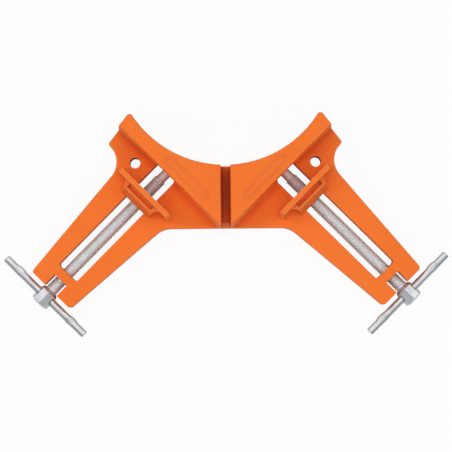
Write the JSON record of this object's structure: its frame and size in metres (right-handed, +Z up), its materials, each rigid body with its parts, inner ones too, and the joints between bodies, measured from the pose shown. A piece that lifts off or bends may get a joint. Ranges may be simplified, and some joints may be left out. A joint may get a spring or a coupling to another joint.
{
  "type": "corner clamp",
  "caption": "Right-angle corner clamp with a die-cast body, fixed mitre jaws and two sliding jaws on captive screws turned by sliding tommy bars.",
  "frame": {"origin": "middle of the row of two bench bolt holes, at the underside that rests on the bench", "axes": "+X along the row of bolt holes, across both arms; +Y along the groove, away from the arms; +Z up"},
  "size_m": [0.2676, 0.1321, 0.0364],
  "materials": {
    "orange_casting": "orange powder coat on die-cast aluminium",
    "plated_steel": "bright zinc plate",
    "spring_steel": "oiled dark spring steel"
  },
  "bodies": {
    "clamp_body": {"body_casting": "orange_casting"},
    "left_jaw_body": {"left_jaw": "orange_casting"},
    "left_screw_body": {"left_screw": "plated_steel", "left_hub": "plated_steel", "left_thrust_washer": "plated_steel", "left_retaining_ring": "spring_steel"},
    "left_bar_body": {"left_tommy_bar": "plated_steel"},
    "right_jaw_body": {"right_jaw": "orange_casting"},
    "right_screw_body": {"right_screw": "plated_steel", "right_hub": "plated_steel", "right_thrust_washer": "plated_steel", "right_retaining_ring": "spring_steel"},
    "right_bar_body": {"right_tommy_bar": "plated_steel"}
  },
  "joints": [
    {"name": "left_screw_turn", "type": "hinge", "parent": "clamp_body", "child": "left_screw_body", "pos_m": [-0.10918, -0.07955, 0.007], "axis": [-0.7071, -0.7071, 0], "range_deg": [-4110, 16410]},
    {"name": "left_jaw_slide", "type": "slide", "parent": "clamp_body", "child": "left_jaw_body", "axis": [-0.7071, -0.7071, 0], "range_m": [-0.0143, 0.057]},
    {"name": "left_bar_slide", "type": "slide", "parent": "left_screw_body", "child": "left_bar_body", "axis": [-0.7071, 0.7071, 0], "range_m": [-0.012, 0.012]},
    {"name": "right_screw_turn", "type": "hinge", "parent": "clamp_body", "child": "right_screw_body", "pos_m": [0.10918, -0.07955, 0.007], "axis": [0.7071, -0.7071, 0], "range_deg": [-3710, 16810]},
    {"name": "right_jaw_slide", "type": "slide", "parent": "clamp_body", "child": "right_jaw_body", "axis": [0.7071, -0.7071, 0], "range_m": [-0.0129, 0.0584]},
    {"name": "right_bar_slide", "type": "slide", "parent": "right_screw_body", "child": "right_bar_body", "axis": [0.7071, 0.7071, 0], "range_m": [-0.012, 0.012]}
  ],
  "couplings": [
    {"joint": "left_jaw_slide", "follows": "left_screw_turn", "m_per_rad": 0.00019894},
    {"joint": "right_jaw_slide", "follows": "right_screw_turn", "m_per_rad": 0.00019894}
  ]
}
